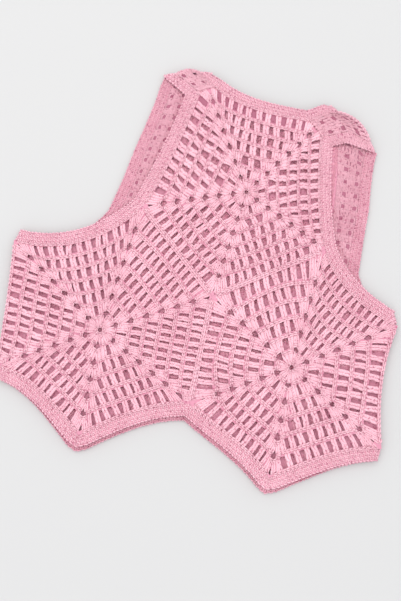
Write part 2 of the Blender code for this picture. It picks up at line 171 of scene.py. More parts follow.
# Stage, in metres
FLOOR_HALF = 3.0           # half the width of the floor
FLOOR_COLOUR = (0.56, 0.55, 0.54, 1)
SKY_COLOUR = (0.95, 0.97, 1.0, 1)
KEY_COLOUR = (1.0, 0.98, 0.95)
KEY_WIDTH = 1.8
KEY_PLACE = Vector((-0.45, 0.5, 1.7))
AIM = Vector((-0.00353, -0.03983, 0.006))   # the point that the camera looks at
SENSOR = 36                # height of the camera's sensor in millimetres

# A side's ends, its bulge towards each, its rounds at middle and corners, and shares trimmed off
Side = namedtuple("Side", "start end bulge_a bulge_b at_middle at_corner trim_a trim_b",
                  defaults=(0, 0, 7, 7.2, 0, 0))
Row = namedtuple("Row", "neck arm bulge")
Fold = namedtuple("Fold", "cloth edge way")
Placed = namedtuple("Placed", "foot_a head_a foot_width head_width foot_b head_b rise tone")
GapCorner = namedtuple("GapCorner", "share half_post way")
Layer = namedtuple("Layer", "motifs corners level web_half web_lift depth_tone detail")

# Corners of a gap: height in its round, half the post beside it, and -1 on the left to 1 on the right
GAP_CORNERS = (
    GapCorner(GAP_FOOT, 1.9, -1),
    GapCorner(GAP_FOOT - GAP_ARCH, 1.9, 0),
    GapCorner(GAP_FOOT, 1.9, 1),
    GapCorner(GAP_HEAD, 2.4, 1),
    GapCorner(GAP_HEAD + GAP_ARCH, 2.4, 0),
    GapCorner(GAP_HEAD, 2.4, -1),
)

FRONT_CORNERS = {
    "middle": (8, -32),
    "armhole_left": (-96, 55),
    "armhole_right": (125, 52),
    "shoulder_left": (-62, 232),
    "shoulder_right": (92, 206),
    "side_left_top": (-234, -19),
    "side_left_low": (-215, -167),
    "point_left": (-103, -222),
    "notch": (10.5, -159.5),
    "point_right": (116, -219.5),
    "side_right_low": (233, -160),
    "side_right_top": (225, -18),
}
TOP_SIDES = (
    Side("middle", "armhole_right", 0, 0, 7, 7.4),
    Side("armhole_right", "shoulder_right", -4, -3, 7, 6.9, 0, 0.12),
    Side("shoulder_right", "shoulder_left", -4.7, -11.9, 7, 7.3, 0.12, 0.12),
    Side("shoulder_left", "armhole_left", -2.5, -3, 7, 7.6, 0.12, 0),
    Side("armhole_left", "middle", 0, 0, 7, 7.4),
)
LEFT_SIDES = (
    Side("middle", "armhole_left", 0, 0, 7, 7.2),
    Side("armhole_left", "side_left_top", -11.5, -13, 7, 7.4),
    Side("side_left_top", "side_left_low", -1, -1, 7, 7.4),
    Side("side_left_low", "point_left", -8.2, -3.1, 6, 6.8),
    Side("point_left", "notch", -3.4, -6.3, 6, 6.3),
    Side("notch", "middle", 0, 0, 7, 6.7),
)
RIGHT_SIDES = (
    Side("middle", "notch", 0, 0, 6, 6.5),
    Side("notch", "point_right", 0, -4.1, 6, 6.9),
    Side("point_right", "side_right_low", -2, -6, 6, 6.2),
    Side("side_right_low", "side_right_top", -5, -6, 6, 6.6),
    Side("side_right_top", "armhole_right", -6, -8, 7, 6.9),
    Side("armhole_right", "middle", 0, 0, 6, 7),
)
FRONT_MOTIFS = {
    "front_top_motif": ((20, 99), TOP_SIDES),
    "front_left_motif": ((-109, -100), LEFT_SIDES),
    "front_right_motif": ((115, -93), RIGHT_SIDES),
}
LEFT_STRAP_BACK = (
    Row((-96, 48), (-122, 38), 0),
    Row((-90, 81), (-114.5, 81), 0),
    Row((-86, 118), (-110, 118), 0),
    Row((-80, 155), (-104, 155), 0),
    Row((-74, 192), (-99.5, 186), 0),
    Row((-68, 218), (-98, 208), 0),
)
RIGHT_STRAP_BACK = (
    Row((130, 46), (156, 30), 0),
    Row((127, 74), (154, 74), 0),
    Row((125, 111), (153, 111), 0),
    Row((121, 148), (149, 148), 0),
    Row((114, 186), (148, 172), 2),
    Row((108, 207), (149, 185), 5),
)
LEFT_FOLD_ROW = Row((-67, 234), (-95, 226), 4)
RIGHT_FOLD_ROW = Row((104.5, 221.5), (149.5, 193.5), 8)
RIGHT_STRAP_FRONT = Row((92, 218), (123, 201), 4)
NECK_CORNER_ROW = 4
FOLDS = {
    "neck_left": Fold((-67, 234), (-53, 235.5), (-0.32, 0.95)),
    "neck_right": Fold((104.5, 221.5), (94.5, 227.5), (0.58, 0.81)),
    "arm_left": Fold((-95, 226), (-109, 220), (-0.32, 0.95)),
    "arm_right": Fold((149.5, 193.5), (157.5, 182.5), (0.58, 0.81)),
    "side_left": Fold((-230, -19), (-227, -5), (-1, 0.1)),
    "side_right": Fold((220.5, -15.7), (214, -3), (1, 0.2)),
    "hem_left": Fold((-211, -167.6), (-208, -180.5), (-1, 0)),
    "hem_right": Fold((229, -161.2), (228, -174), (1, 0)),
}
BACK_CORNERS = {
    **FRONT_CORNERS,
    "middle": (8, -32 - BACK_DROP),
    "point_left": (-103, -222 - BACK_DROP),
    "notch": (10.5, -159.5 - BACK_DROP),
    "point_right": (116, -219.5 - BACK_DROP),
    "strap_left_arm": LEFT_STRAP_BACK[0].arm,
    "strap_left_neck": LEFT_STRAP_BACK[0].neck,
    "strap_right_arm": RIGHT_STRAP_BACK[0].arm,
    "strap_right_neck": RIGHT_STRAP_BACK[0].neck,
    "neck_left": LEFT_STRAP_BACK[NECK_CORNER_ROW].neck,
    "neck_right": RIGHT_STRAP_BACK[NECK_CORNER_ROW].neck,
}
BACK_ARM_LEFT = Side("strap_left_arm", "side_left_top", -14, -13)
BACK_ARM_RIGHT = Side("side_right_top", "strap_right_arm", -8, -8)
BACK_NECK_SIDE = Side("neck_right", "neck_left", 6, 6)
BACK_MOTIFS = {
    "back_top_motif": ((20, 92), (
        Side("middle", "strap_right_neck"),
        Side("strap_right_neck", "neck_right", -1, 1),
        BACK_NECK_SIDE,
        Side("neck_left", "strap_left_neck", 1, -1),
        Side("strap_left_neck", "middle"),
    )),
    "back_left_motif": ((-109, -103), (
        Side("middle", "strap_left_neck"),
        Side("strap_left_neck", "side_left_top", -6, -12, 7, 7.2),
        *LEFT_SIDES[2:],
    )),
    "back_right_motif": ((115, -96), (
        *RIGHT_SIDES[:4],
        Side("side_right_top", "strap_right_neck", -7, -2, 7, 6.9),
        Side("strap_right_neck", "middle", 0, 0, 6, 7),
    )),
}
FRONT = Layer(FRONT_MOTIFS, FRONT_CORNERS, FRONT_LEVEL, WEB_WALL / 2, 0, DEPTH_PAINTED_SHADE, True)
BACK = Layer(BACK_MOTIFS, BACK_CORNERS, BACK_LEVEL, 1.2, 0.2, 0, False)

# Soft rises of the front layer: centre, half length, half width and turn of each, and height
Swell = namedtuple("Swell", "x y along across turn height")
SWELLS = (
    Swell(-150, -60, 70, 26, 0.5, 1.6),
    Swell(-60, -150, 60, 22, 1.9, 1.2),
    Swell(80, -60, 75, 24, -0.7, 1.5),
    Swell(170, -130, 55, 26, 0.9, 1.4),
    Swell(30, 150, 80, 24, 0.1, 1.3),
    Swell(-30, 60, 60, 20, 1.2, 1.2),
    Swell(112, -214, 36, 20, 0.3, 1.8),
    Swell(-104, -212, 34, 20, -0.4, 1.6),
    Swell(120, 208, 26, 14, -0.6, 1.5),
)


def side_point(corners, side, t):
    """Point at fraction t of a side, bulged outward from the straight line between its ends."""
    start = np.array(corners[side.start], float)
    along = np.array(corners[side.end], float) - start
    outward = np.array((along[1], -along[0])) / np.hypot(*along)
    bulge = BULGE_PEAK * t * (1 - t) * (side.bulge_a * (1 - t) + side.bulge_b * t)
    return start + along * t + outward * bulge


def side_points(corners, side, steps=12):
    """Points along a side, without the stretches trimmed off its ends, closer at a point's tip."""
    first, last = side.trim_a, 1 - side.trim_b
    near = [NEAR_TIP] * (side.start in TIPS) + [1 - NEAR_TIP] * (side.end in TIPS)
    places = sorted([i / steps for i in range(steps + 1)] + near)
    return [side_point(corners, side, first + (last - first) * t) for t in places]


def chained(*runs):
    """One array of points from several runs, each joint kept once."""
    points = []
    for run in runs:
        for point in run:
            if not points or np.hypot(*(np.asarray(point) - points[-1])) > SEAM:
                points.append(np.asarray(point, float))
    return np.array(points)


def offset(points, distance):
    """An open run of points moved to the right of its way by a distance."""
    ways = np.diff(points, axis=0)
    ways /= np.linalg.norm(ways, axis=1, keepdims=True)
    before = np.vstack((ways[:1], ways))
    after = np.vstack((ways, ways[-1:]))
    way = before + after
    way /= np.linalg.norm(way, axis=1, keepdims=True)
    turned_out = before[:, 0] * after[:, 1] - before[:, 1] * after[:, 0] > 0
    stretch = np.where(turned_out, 1, 1 / np.maximum((way * before).sum(axis=1), MITRE_LIMIT))
    return points + np.stack((way[:, 1], -way[:, 0]), axis=1) * distance * stretch[:, None]


def settled(points):
    """Points in millimetres with the soft rises of the front layer, moved to the part's origin."""
    share = np.clip((points[..., 2] - BACK_LEVEL) / (FRONT_LEVEL - BACK_LEVEL), 0, 1)
    lift = np.zeros(points.shape[:-1])
    for swell in SWELLS:
        x, y = points[..., 0] - swell.x, points[..., 1] - swell.y
        along = x * np.cos(swell.turn) + y * np.sin(swell.turn)
        across = y * np.cos(swell.turn) - x * np.sin(swell.turn)
        lift += swell.height * np.exp(-(along / swell.along) ** 2 - (across / swell.across) ** 2)
    moved = points - CENTRE
    moved[..., 2] = np.maximum(moved[..., 2] + share * lift, FLOOR_ROOM)
    return moved * MM


class MotifSurface:
    """A motif's places: a counts its sides from corner to corner, b counts rounds outward."""

    def __init__(self, corners, centre, sides, level):
        self.centre = np.array(centre, float)
        self.sides = sides
        self.level = level
        self.count = len(sides)
        marks, rounds = [], []
        for i, side in enumerate(sides):
            following = sides[(i + 1) % self.count]
            for step in range(SIDE_STEPS):
                t = step / SIDE_STEPS
                corner = side.at_corner if t < 0.5 else following.at_corner
                marks.append(side_point(corners, side, t))
                rounds.append(side.at_middle + (corner - side.at_middle) * (2 * t - 1) ** 2)
        self.marks = np.array(marks + marks[:1])
        self.rounds = np.array(rounds + rounds[:1])
        self.turns = np.arange(len(self.rounds)) / SIDE_STEPS

    def rounds_at(self, a):
        """Rounds from the centre out to the edge."""
        return np.interp(np.mod(a, self.count), self.turns, self.rounds)

    def at(self, a, b, z):
        """Points at places a and b, raised by z."""
        turn = np.mod(a, self.count)
        reach = b / self.rounds_at(a)
        x = np.interp(turn, self.turns, self.marks[:, 0])
        y = np.interp(turn, self.turns, self.marks[:, 1])
        x = self.centre[0] + (x - self.centre[0]) * reach
        y = self.centre[1] + (y - self.centre[1]) * reach
        return np.stack((x, y, self.level + z + 0 * x), axis=-1)


def run_lengths(points):
    """How far each point of a run lies along it."""
    return np.concatenate(([0], np.cumsum(np.linalg.norm(np.diff(points, axis=0), axis=1))))


class RingSurface:
    """A border's places: a runs round it in millimetres, b across it from 0 to 1."""

    def __init__(self, inner, outer, normals):
        self.lines = [np.array([*line, line[0]], float) for line in (inner, outer, normals)]
        self.along = run_lengths((self.lines[0] + self.lines[1]) / 2)
        self.length = self.along[-1]

    def at(self, a, b, z):
        """Points at places a and b, raised by z along the border's normal."""
        s = np.mod(a, self.length)
        inner, outer, normal = (np.stack([np.interp(s, self.along, line[:, i]) for i in range(3)], axis=-1)
                                for line in self.lines)
        share = np.asarray(b)[..., None] + 0 * inner
        return inner * (1 - share) + outer * share + normal * np.asarray(z)[..., None]


class StrapSurface:
    """A strap's places: a runs across it from 0 to 1, b along it in millimetres."""

    def __init__(self, rows, normals):
        self.rows = np.array(rows)
        self.normals = np.array(normals, float)
        self.along = run_lengths(self.rows[:, self.rows.shape[1] // 2])
        self.length = self.along[-1]
        self.widths = np.linalg.norm(self.rows[:, -1] - self.rows[:, 0], axis=1)

    def width_at(self, b):
        """Width of the strap at place b along it."""
        return np.interp(b, self.along, self.widths)

    def at(self, a, b, z):
        """Points at places a and b, raised by z along the strap's normal."""
        a, b, z = np.broadcast_arrays(np.asarray(a, float), np.asarray(b, float), np.asarray(z, float))
        s = np.clip(b, 0, self.length)
        columns = self.rows.shape[1] - 1
        place = np.clip(a, 0, 1) * columns
        left = np.minimum(place.astype(int), columns - 1)
        share = (place - left)[..., None]
        row = np.clip(np.searchsorted(self.along, s, side="right") - 1, 0, len(self.along) - 2)
        part = ((s - self.along[row]) / (self.along[row + 1] - self.along[row]))[..., None]
        lower = self.rows[row, left] * (1 - share) + self.rows[row, left + 1] * share
        upper = self.rows[row + 1, left] * (1 - share) + self.rows[row + 1, left + 1] * share
        normal = self.normals[row] * (1 - part) + self.normals[row + 1] * part
        return lower * (1 - part) + upper * part + normal * z[..., None]


def at_level(points, level):
    """Flat points raised to a level."""
    points = np.atleast_2d(points)
    return np.column_stack((points, np.full(len(points), level)))


def fold_steps(line, way, from_front):
    """Rows and normals of a fold over a flat line, from one layer round to the other."""
    way = np.array(way) / np.hypot(*way)
    rows, normals = [], []
    for i in range(1, FOLD_STEPS):
        turn = np.pi * i / FOLD_STEPS
        lift = np.cos(turn) if from_front else -np.cos(turn)
        rows.append(at_level(line + way * FOLD_RADIUS * np.sin(turn), FOLD_LEVEL + FOLD_RADIUS * lift))
        normals.append((*(way * np.sin(turn)), lift))
    return rows, normals


def border_surface(front_path, back_path, first, second, width):
    """The ring of a border: along the front, over a fold, back along the back, over a fold."""
    rows, normals = [], []
    for path, level, normal in ((front_path, FRONT_LEVEL, 1), (back_path, BACK_LEVEL, -1)):
        inner, outer = offset(path, SEAM / 2), offset(path, SEAM / 2 + width)
        for i, fold in ((0, first), (-1, second)):
            inner[i], outer[i] = fold.cloth, fold.edge
        band = [np.array(pair) for pair in zip(inner, outer)]
        if normal < 0:
            band = band[::-1]
        fold, from_front = (second, True) if normal > 0 else (first, False)
        fold_rows, fold_normals = fold_steps(np.array((fold.cloth, fold.edge)), fold.way, from_front)
        rows += [at_level(row, level) for row in band] + fold_rows
        normals += [(0, 0, normal)] * len(band) + fold_normals
    return RingSurface([row[0] for row in rows], [row[1] for row in rows], normals)


def strap_surface(back, fold_row, way, front, side):
    """A strap: up the back, over the fold at the shoulder and down to the front motif."""
    def points(row):
        neck, arm = np.array(row.neck, float), np.array(row.arm, float)
        t = np.linspace(0, 1, STRAP_ACROSS)[:, None]
        across = arm - neck
        outward = np.array((-across[1], across[0])) / np.hypot(*across) * side
        return neck + across * t + outward * 4 * row.bulge * t * (1 - t)

    rows = [at_level(points(row), BACK_LEVEL) for row in (*back, fold_row)]
    normals = [(0, 0, -1)] * len(rows)
    fold_rows, fold_normals = fold_steps(points(fold_row), way, from_front=False)
    rows += fold_rows
    normals += fold_normals
    rows += [at_level(points(row), FRONT_LEVEL) for row in (fold_row, *front)]
    normals += [(0, 0, 1)] * (len(front) + 1)
    return StrapSurface(rows, normals)


# Stitches, each modelled once, in millimetres

def add_strand(shape, path, radii, sides):
    """A round strand of yarn along a path: a circle at each point, bridged to the one before."""
    around = shape.verts.layers.float_vector["ply"]
    gone = 0.0
    earlier = None
    for i, (point, radius) in enumerate(zip(path, radii)):
        point = Vector(point)
        before = Vector(path[max(i - 1, 0)])
        after = Vector(path[min(i + 1, len(path) - 1)])
        gone += (point - before).length
        turn = (after - before).to_track_quat("Z", "Y").to_matrix().to_4x4()
        made = bmesh.ops.create_circle(shape, cap_ends=i in (0, len(path) - 1), segments=sides,
                                       radius=radius, matrix=Matrix.Translation(point) @ turn)
        for step, vert in enumerate(made["verts"]):
            angle = 2 * np.pi * step / sides
            vert[around] = (np.cos(angle), np.sin(angle), gone)
        edges = list({edge for vert in made["verts"] for edge in vert.link_edges})
        if earlier:
            bmesh.ops.bridge_loops(shape, edges=earlier + edges)
        earlier = edges


class Stitch:
    """One modelled stitch: its mesh as arrays, x across from -0.5 to 0.5, y up from 0 to 1."""

    def __init__(self, strands, width, height, sides):
        shape = bmesh.new()
        shape.verts.layers.float_vector.new("ply")
        for path, radii in strands:
            add_strand(shape, path, radii, sides)
        bmesh.ops.recalc_face_normals(shape, faces=shape.faces)
        shape.verts.index_update()
        ply = shape.verts.layers.float_vector["ply"]
        self.points = np.array([tuple(vert.co) for vert in shape.verts]) / (width, height, 1)
        self.ply = np.array([tuple(vert[ply]) for vert in shape.verts])
        self.faces = [[vert.index for vert in face.verts] for face in shape.faces]
        shape.free()


def on_both_faces(strands):
    """Strands together with their mirror images on the other face of the cloth."""
    return strands + [([(x, y, -z) for x, y, z in path], radii) for path, radii in strands]


def post_stitch(detail, crossed=True, both_faces=False):
    """A post: two strands side by side up its height, and one across them if it is crossed."""
    if not detail:
        path = [(0.0, 0, 0.1), (0.25, 4.3, 0.3), (-0.25, 8.7, 0.3), (0.0, 13, 0.1)]
        return Stitch([(path, (1.6, 1.9, 1.9, 1.7))], width=4.2, height=13, sides=6)
    strands = []
    for way in (-1, 1):
        leg = [(1.1 * way, 0, 0.1), (1.2 * way, 3.2, 0.5), (1.05 * way + 0.15, 6.4, 0.75),
               (1.2 * way, 9.8, 0.55), (1.1 * way, 13, 0.1)]
        strands.append((leg, (1.1, 1.25, 1.2, 1.3, 1.1)))
    band = [(-2.2, 4.4, 0.1), (-0.9, 5.9, 1.65), (0.9, 7.8, 1.65), (2.2, 9.2, 0.1)]
    if crossed:
        strands.append((band, (0.5, 0.8, 0.8, 0.5)))
    strands = on_both_faces(strands) if both_faces else strands
    return Stitch(strands, width=4.8, height=13, sides=6)


def chain_stitch(detail):
    """The V on top of a stitch, its tip tucked under the one before."""
    strands = []
    for way in (-1, 1):
        path = [(-2.6, 1.6 + 0.1 * way, -0.9), (-1.0, 1.6 + 0.8 * way, 0.35),
                (0.6, 1.6 + 1.2 * way, 0.8), (2.2, 1.6 + 0.9 * way, -0.1)]
        if detail:
            strands.append((path, (0.55, 0.95, 1.05, 0.7)))
        else:
            strands.append(([path[0], path[2], path[3]], (0.7, 1.05, 0.8)))
    return Stitch(strands, width=4.3, height=3.2, sides=5 if detail else 4)


def close_stitch():
    """A close stitch of the borders: two short legs under a V that lies along the row."""
    strands = []
    for way in (-1, 1):
        leg = [(0.3 * way, -0.6, -0.1), (1.15 * way, 1.4, 0.85), (0.7 * way, 3.0, 0.2)]
        strands.append((leg, (0.75, 1.05, 0.75)))
    strands.append(([(-2.2, 3.0, -0.5), (-0.6, 3.8, 1.0), (0.9, 4.1, 1.15), (2.1, 3.5, -0.3)],
                    (0.5, 0.95, 1.0, 0.55)))
    return Stitch(on_both_faces(strands), width=4.3, height=4.3, sides=5)


def joined_stitches(stitch, placed, surface, rng, depth_tone=DEPTH_PAINTED_SHADE):
    """One mesh of many copies of a stitch, each bent onto the surface at its own place."""
    rows = np.array(placed, float).reshape(-1, len(Placed._fields))
    count = len(rows)
    x, y, z = stitch.points.T
    foot_a, head_a, foot_width, head_width, foot_b, head_b, rise, tone = rows.T[..., None]
    uneven = rng.normal(0, UNEVEN, (4, count, 1))
    wider, bow, taller, higher = uneven * np.array(UNEVEN_SHARES)[:, None, None]
    wide = (foot_width + (head_width - foot_width) * y) * (1 + wider)
    a = foot_a + (head_a - foot_a) * y + wide * (x + bow * y * (1 - y))
    b = foot_b + (head_b - foot_b) * (y + taller)
    points = settled(surface.at(a, b, rise + z * (1 + higher)))
    # random tone of each stitch, with painted shade darkening its deeper parts as if they lay in shade
    tone_and_painted_shade = tone + depth_tone * (z - z.max()) / (z.max() - z.min())
    return points.reshape(-1, 3), stitch, tone_and_painted_shade.ravel(), count


def add_attribute(mesh, name, kind, values):
    """Write one value for each point of a mesh, for the material to read."""
    layer = mesh.attributes.new(name, kind, "POINT")
    layer.data.foreach_set("vector" if kind == "FLOAT_VECTOR" else "value", np.ravel(values))


def add_piece(name, mesh, material, slot):
    """One object that rides the part's only body."""
    piece = bpy.data.objects.new(name, mesh)
    mesh.materials.append(material)
    bpy.context.scene.collection.objects.link(piece)
    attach(piece, "root")
    return piece


def add_yarn(name, parts, colours):
    """One object of several joined sets of stitches."""
    points, loops, totals, plies, tones_and_painted_shade = [], [], [], [], []
    start = 0
    for part_points, stitch, tone, count in parts:
        size = len(stitch.points)
        shifts = start + size * np.arange(count)
        flat = np.array([i for face in stitch.faces for i in face])
        loops.append((shifts[:, None] + flat).ravel())
        totals.append(np.tile([len(face) for face in stitch.faces], count))
        points.append(part_points)
        plies.append(np.tile(stitch.ply, (count, 1)))
        tones_and_painted_shade.append(tone)
        start += size * count
    points, loops, totals = np.vstack(points), np.concatenate(loops), np.concatenate(totals)
    mesh = bpy.data.meshes.new(name + "_stitches")
    mesh.vertices.add(len(points))
    mesh.vertices.foreach_set("co", points.ravel())
    mesh.loops.add(len(loops))
    mesh.loops.foreach_set("vertex_index", loops)
    mesh.polygons.add(len(totals))
    mesh.polygons.foreach_set("loop_start", np.concatenate(([0], np.cumsum(totals)[:-1])))
    mesh.update(calc_edges=True)
    add_attribute(mesh, "ply", "FLOAT_VECTOR", np.vstack(plies))
    # the tone attribute carries the random tone of the stitches and their painted shade
    add_attribute(mesh, "tone", "FLOAT", np.concatenate(tones_and_painted_shade))
    mesh.validate()
    mesh.shade_smooth()
    return add_piece(name + "_stitches", mesh, colours["yarn"], colours["slot"])


# Webs: the thin cloth that carries the stitches, with its gaps

def inside(points, outline):
    """Which points lie inside a closed outline."""
    x, y = np.asarray(points, float).T[:2]
    hits = np.zeros(np.shape(x), bool)
    for (x0, y0), (x1, y1) in zip(outline, np.roll(outline, -1, axis=0)):
        crosses = (y0 > y) != (y1 > y)
        if y0 != y1:
            hits ^= crosses & (x < x0 + (x1 - x0) * (y - y0) / (y1 - y0))
    return hits


def filled_outline(name, outline, holes, half_thickness):
    """A filled outline with holes as a thin flat mesh, in millimetres."""
    curve = bpy.data.curves.new(name + "_outline", "CURVE")
    curve.dimensions = "2D"
    curve.fill_mode = "BOTH"
    curve.extrude = half_thickness
    for points in (outline, *holes):
        spline = curve.splines.new("POLY")
        spline.points.add(len(points) - 1)
        for knot, point in zip(spline.points, points):
            knot.co = (point[0], point[1], 0, 1)
        spline.use_cyclic_u = True
    drawn = bpy.data.objects.new(name + "_outline", curve)
    bpy.context.scene.collection.objects.link(drawn)
    bpy.context.view_layer.update()
    mesh = bpy.data.meshes.new_from_object(drawn.evaluated_get(bpy.context.evaluated_depsgraph_get()))
    bpy.data.objects.remove(drawn)
    bpy.data.curves.remove(curve)
    shape = bmesh.new()
    shape.from_mesh(mesh)
    bpy.data.meshes.remove(mesh)
    bmesh.ops.remove_doubles(shape, verts=shape.verts, dist=SAME_POINT)
    bmesh.ops.recalc_face_normals(shape, faces=shape.faces)
    return shape


def painted_shade_under_gap(shape, gap):
    """Close one gap of a flat shape with cloth below the shape's face, coloured dark as painted shade."""
    low, high = ([shape.verts.new((x, y, z)) for x, y in gap] for z in PAINTED_SHADE_SHEET)
    faces = [shape.faces.new(low), shape.faces.new(high)]
    faces += [shape.faces.new((low[i - 1], low[i], high[i], high[i - 1])) for i in range(len(gap))]
    bmesh.ops.recalc_face_normals(shape, faces=faces)
    for face in faces:
        face.material_index = 1


def add_web(name, shape, place, colours):
    """Turn a flat shape into the web of one CAD node, every point moved onto its surface."""
    mesh = bpy.data.meshes.new(name + "_web")
    shape.to_mesh(mesh)
    shape.free()
    points = np.empty(len(mesh.vertices) * 3)
    mesh.vertices.foreach_get("co", points)
    points = settled(place(points.reshape(-1, 3)))
    mesh.vertices.foreach_set("co", points.ravel())
    # the web is painted darker still, as shade between the stitches
    add_attribute(mesh, "tone", "FLOAT", np.full(len(points), WEB_PAINTED_SHADE))
    mesh.update()
    web = add_piece(name + "_web", mesh, colours["web"], colours["slot"])
    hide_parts(name)
    return web


def cloth_area(web):
    """Area of one face of a thin web, in square metres."""
    return sum(face.area for face in web.data.polygons) / 2


# Patterns

def round_marks(k, sides):
    """Heads of the posts of round k along one side: fan posts, single posts and whole length."""
    fan = [mark * STITCH for mark in FAN_HEADS]
    if k <= 1:
        return fan, [], CORNER_SPACE + FAN * STITCH
    gaps = max(1, 2 * k + sides - GAPS_FEWER)
    whole = CORNER_SPACE + 2 * FAN * STITCH + gaps * MESH_HOLE + (gaps - 1) * STITCH
    first = CORNER_SPACE / 2 + FAN * STITCH
    singles = [first + (i + 1) * MESH_HOLE + (i + 0.5) * STITCH for i in range(gaps - 1)]
    return fan, singles, whole


class Round:
    """Round k of a motif along its side i, its posts placed by shares of the side's length."""

    def __init__(self, surface, i, k):
        self.surface, self.i, self.k = surface, i, k
        self.last = k == surface.sides[i].at_middle
        self.fan, self.singles, self.whole = round_marks(k, surface.count)
        _, self.singles_before, self.whole_before = round_marks(k - 1, surface.count)

    def edge(self, a):
        """How far out the posts' heads reach at place a, in rounds."""
        if self.last:
            return float(self.surface.rounds_at(a)) - LAST_HEAD_ROOM
        return self.k - HEAD_ROOM

    def places(self, rng):
        """Foot and head of each post, as shares of the side."""
        if self.k == 1:
            places = [((j + 0.5) / FAN, head) for j, head in enumerate(FIRST_HEADS)]
        else:
            nearest = (CORNER_SPACE / 2 + (FAN - 0.5) * STITCH) / self.whole_before
            feet = [nearest] + [mark / self.whole_before for mark in self.singles_before] + [1 - nearest]
            heads = [mark / self.whole for mark in self.singles]
            if len(feet) != len(heads) or self.k == 2:
                feet = heads
            fan = [(foot / self.whole_before, head / self.whole)
                   for foot, head in zip(FAN_SPREAD, self.fan)]
            places = fan + list(zip(feet, heads)) + [(1 - foot, 1 - head) for foot, head in reversed(fan)]
        return [(foot + rng.normal(0, UNEVEN_POSTS) / self.whole_before * (self.k > 1),
                 head + rng.normal(0, UNEVEN_POSTS) / self.whole) for foot, head in places]

    def posts(self, places, rng):
        """The posts of the fans, and the single posts between them."""
        fans, singles = [], []
        for j, (foot, head) in enumerate(places):
            from_end = min(j, len(places) - 1 - j)
            single = self.k > 1 and from_end >= FAN
            widths, raised = (SINGLE_WIDTHS, SINGLE_FOOT) if single else (FAN_WIDTHS, FAN_FEET[from_end])
            foot_width, foot_b = widths[0] / self.whole_before, self.k - 1 + raised
            if self.k == 1:
                widths, foot_width, foot_b = SINGLE_WIDTHS, FIRST_FOOT_WIDTH, FIRST_FOOT
            post = Placed(self.i + foot, self.i + head, foot_width, widths[1] / self.whole, foot_b,
                          self.edge(self.i + head), 0.0, rng.normal(0, POST_SHADE))
            (singles if single else fans).append(post)
        return fans, singles

    def gaps(self, places):
        """Outlines of the gaps beside the single posts."""
        gaps = []
        beside = places[FAN - 1:len(places) - FAN + 1]
        for left, right in zip(beside, beside[1:]):
            outline = []
            for share, half_post, way in GAP_CORNERS:
                half = half_post / (self.whole_before + (self.whole - self.whole_before) * share)
                from_left = left[0] + (left[1] - left[0]) * share + half
                from_right = right[0] + (right[1] - right[0]) * share - half
                a = self.i + (from_left, (from_left + from_right) / 2, from_right)[way + 1]
                top = self.edge(a) + HEAD_ROOM
                outline.append((a, self.k - 1 + share * (top - self.k + 1)))
            gaps.append(outline)
        return gaps

    def corner_gap(self):
        """Outline of the gap between the two fans at the first corner of the side."""
        top = LAST_CORNER_GAP_TOP if self.last else CORNER_GAP_TOP
        half = CORNER_GAP_HALF / self.whole
        # across in half widths, and beyond the round in rounds
        kite = ((0, -0.33), (0.75, -0.12), (1, top - 0.08), (0, top), (-1, top - 0.08), (-0.75, -0.12))
        return [(self.i + across * half, self.k + beyond) for across, beyond in kite]

    def chains(self, rng):
        """The chains over the posts' heads, swung out round the corners."""
        swing = LAST_CORNER_SWING if self.last else CORNER_SWING
        count = max(3, round(self.whole / CHAIN))
        width = CHAIN_WIDTH / count
        chains = []
        for j in range(count):
            a = self.i + (j + 0.5) / count
            from_corner = min(j + 0.5, count - j - 0.5) * self.whole / count
            b = self.edge(a) + swing * np.exp(-(from_corner / SWING_WIDTH) ** 2)
            foot, head = (b + reach for reach in CHAIN_REACH)
            chains.append(Placed(a, a, width, width, foot, head, CHAIN_RISE, rng.normal(0, CHAIN_SHADE)))
        return chains


def motif_pattern(surface, rng):
    """Fan posts, single posts, chains and gaps of a motif."""
    fans, singles, chains, gaps = [], [], [], []
    for i, side in enumerate(surface.sides):
        for k in range(1, side.at_middle + 1):
            worked = Round(surface, i, k)
            places = worked.places(rng)
            fan_posts, single_posts = worked.posts(places, rng)
            fans += fan_posts
            singles += single_posts
            if k > 1:
                gaps += worked.gaps(places)
            chains += worked.chains(rng)
            if k <= surface.sides[i - 1].at_middle:
                gaps.append(worked.corner_gap())
    width = surface.count / CENTRE_CHAINS
    for j in range(CENTRE_CHAINS):
        a = surface.count * (j + 0.5) / CENTRE_CHAINS
        chains.append(Placed(a, a, width, width, *CENTRE_REACH, CENTRE_RISE, rng.normal(0, CHAIN_SHADE)))
    gaps.append([(surface.count * j / CENTRE_CHAINS, CENTRE_HOLE) for j in range(CENTRE_CHAINS)])
    return fans, singles, chains, gaps


def kept_inside(placed, surface, outline):
    """The stitches whose middles lie inside an outline."""
    a = np.array([(spot.foot_a + spot.head_a) / 2 for spot in placed])
    b = np.array([(spot.foot_b + spot.head_b) / 2 for spot in placed])
    return [spot for spot, kept in zip(placed, inside(surface.at(a, b, 0), outline)) if kept]


